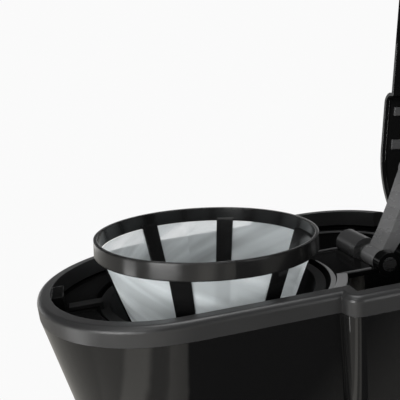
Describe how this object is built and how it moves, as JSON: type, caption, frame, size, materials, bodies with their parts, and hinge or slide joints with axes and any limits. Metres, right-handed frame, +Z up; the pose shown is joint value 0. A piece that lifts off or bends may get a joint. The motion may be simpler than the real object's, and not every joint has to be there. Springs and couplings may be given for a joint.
{
  "type": "drip coffee maker",
  "caption": "Upright drip coffee maker with a rear tank, a hinged lid standing open, a swing-up water arm, a conical mesh filter in its basket, and a glass carafe on a warming plate.",
  "frame": {"origin": "centre of the overall box, lid open, on the plane of the feet", "axes": "+Z up, -Y to the front where the carafe is taken out, +X to the side that carries the switch"},
  "size_m": [0.1601, 0.3218, 0.4967],
  "materials": {
    "gloss": "gloss",
    "satin": "satin",
    "dark_matte": "matte",
    "rubber": "matte",
    "silicone": "satin",
    "steel": "satin",
    "aluminium": "satin",
    "plate": "satin",
    "lens": "gloss",
    "clear": "gloss",
    "nylon": "matte",
    "glass": "gloss"
  },
  "bodies": {
    "frame": {"base_shell": "gloss", "base_cover": "dark_matte", "rubber_feet": "rubber", "cover_screws": "steel", "switch_bezel": "gloss", "power_lens": "lens", "cord_gland": "rubber", "hot_plate": "plate", "plate_seal": "rubber", "heat_spreader": "aluminium", "heater_tube": "aluminium", "heater_bracket": "steel", "thermostat": "steel", "thermal_fuses": "steel", "rear_housing": "gloss", "level_window": "clear", "water_tank": "dark_matte", "hinge_bracket": "dark_matte", "hinge_pin": "steel", "head_shell": "gloss", "top_rim": "satin", "chamber_deck": "satin", "latch_catch": "satin", "outlet_hose": "silicone", "riser_hose": "silicone", "check_valve": "dark_matte", "swivel_barrel": "satin", "arm_pin": "steel", "arm_seal": "silicone"},
    "rocker": {"switch_rocker": "gloss"},
    "lid": {"lid_shell": "gloss", "lid_liner": "dark_matte", "lid_latch": "dark_matte"},
    "arm": {"water_arm": "satin", "arm_nozzle": "satin"},
    "basket": {"filter_basket": "dark_matte", "valve_cap": "dark_matte", "valve_spring": "steel"},
    "valve": {"valve_plunger": "dark_matte", "valve_seal": "silicone"},
    "filter": {"filter_frame": "gloss", "filter_mesh": "nylon"},
    "carafe": {"carafe_glass": "glass", "carafe_band": "steel", "carafe_handle": "gloss"},
    "carafe_lid": {"carafe_lid": "gloss"}
  },
  "joints": [
    {"name": "lid_hinge", "type": "hinge", "parent": "frame", "child": "lid", "pos_m": [0, 0.07806, 0.275], "axis": [-1, 0, 0], "range_deg": [-96.5, 0]},
    {"name": "arm_pivot", "type": "hinge", "parent": "frame", "child": "arm", "pos_m": [0, 0.04006, 0.2768], "axis": [-1, 0, 0], "range_deg": [-65, 0.5]},
    {"name": "basket_lift", "type": "slide", "parent": "frame", "child": "basket", "axis": [0, 0, 1], "range_m": [0, 0.13]},
    {"name": "filter_lift", "type": "slide", "parent": "basket", "child": "filter", "axis": [0, 0, 1], "range_m": [0, 0.12]},
    {"name": "valve_lift", "type": "slide", "parent": "basket", "child": "valve", "axis": [0, 0, 1], "range_m": [0, 0.004], "stiffness_N_per_m": 120, "springref_m": -0.004, "deforming": ["valve_spring"]},
    {"name": "carafe_slide", "type": "slide", "parent": "frame", "child": "carafe", "axis": [0, -1, 0], "range_m": [0, 0.16]},
    {"name": "carafe_lid_turn", "type": "hinge", "parent": "carafe", "child": "carafe_lid", "pos_m": [0, -0.05294, 0.18], "axis": [0, 0, 1], "range_deg": [0, 40]},
    {"name": "switch_tilt", "type": "hinge", "parent": "frame", "child": "rocker", "pos_m": [0.074, -0.03894, 0.025], "axis": [0, 0, 1], "range_deg": [-4, 4]}
  ],
  "couplings": [
    {"joint": "arm_pivot", "follows": "lid_hinge", "ratio": 0.67358}
  ]
}
